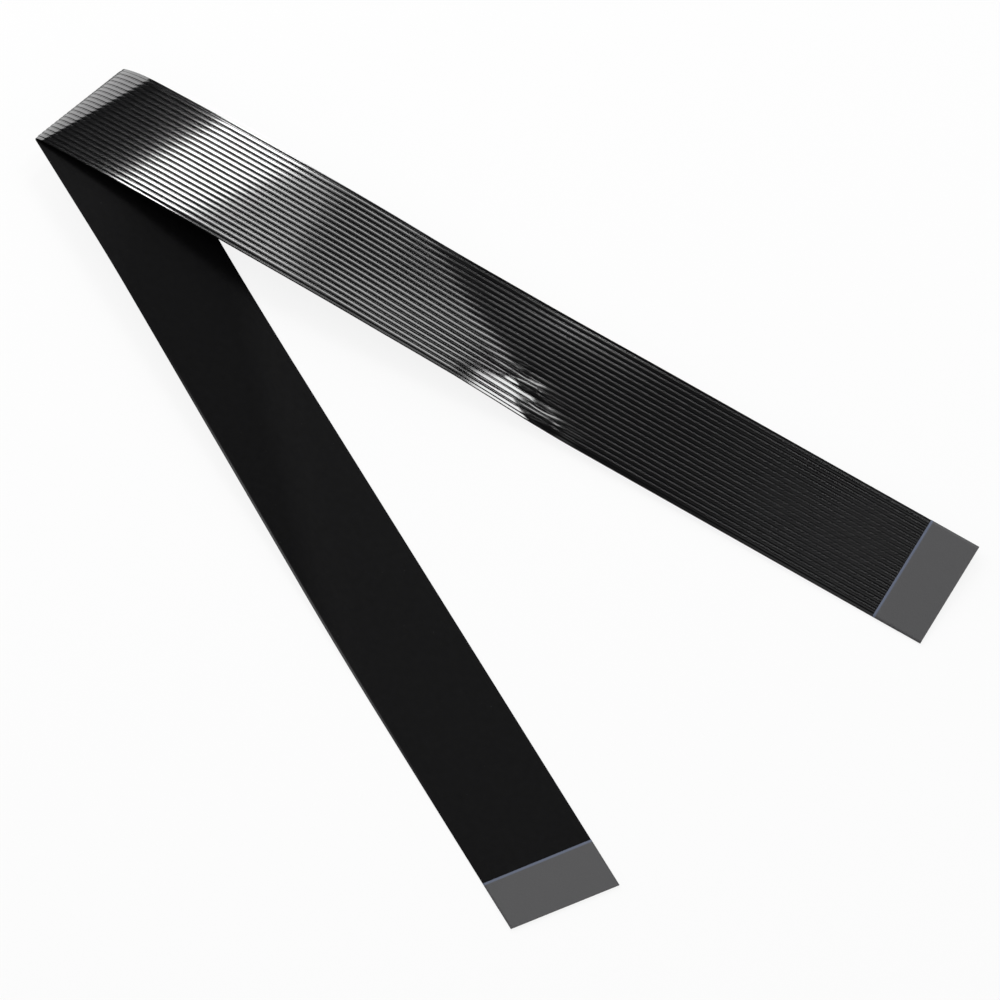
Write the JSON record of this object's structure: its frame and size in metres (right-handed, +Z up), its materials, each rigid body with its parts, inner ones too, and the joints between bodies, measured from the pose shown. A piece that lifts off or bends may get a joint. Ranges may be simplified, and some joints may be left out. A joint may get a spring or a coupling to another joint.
{
  "type": "ribbon cable",
  "caption": "Black flat flexible ribbon cable, turned over once in a soft fold, with one ribbed and one smooth face, and a grey stiffener behind the bare contacts at each end.",
  "frame": {"origin": "middle of the bottom of the part's box as it lies on a table", "axes": "+Z up from the table, with both halves lying along it; +X to the side that the narrow V opens to"},
  "size_m": [0.1704, 0.166, 0.0089],
  "materials": {
    "ribbed_film": "glossy black polyester film, drawn down between the conductors",
    "smooth_film": "satin black polyester film, flat",
    "stiffener": "matte grey polyester tape",
    "tinned_copper": "tin plate on flat copper, satin"
  },
  "bodies": {
    "root": {"ribbed_film": "ribbed_film", "smooth_film": "smooth_film", "upper_stiffener": "stiffener", "lower_stiffener": "stiffener", "conductor_01": "tinned_copper", "conductor_02": "tinned_copper", "conductor_03": "tinned_copper", "conductor_04": "tinned_copper", "conductor_05": "tinned_copper", "conductor_06": "tinned_copper", "conductor_07": "tinned_copper", "conductor_08": "tinned_copper", "conductor_09": "tinned_copper", "conductor_10": "tinned_copper", "conductor_11": "tinned_copper", "conductor_12": "tinned_copper", "conductor_13": "tinned_copper", "conductor_14": "tinned_copper", "conductor_15": "tinned_copper", "conductor_16": "tinned_copper", "conductor_17": "tinned_copper", "conductor_18": "tinned_copper", "conductor_19": "tinned_copper", "conductor_20": "tinned_copper"}
  },
  "joints": []
}
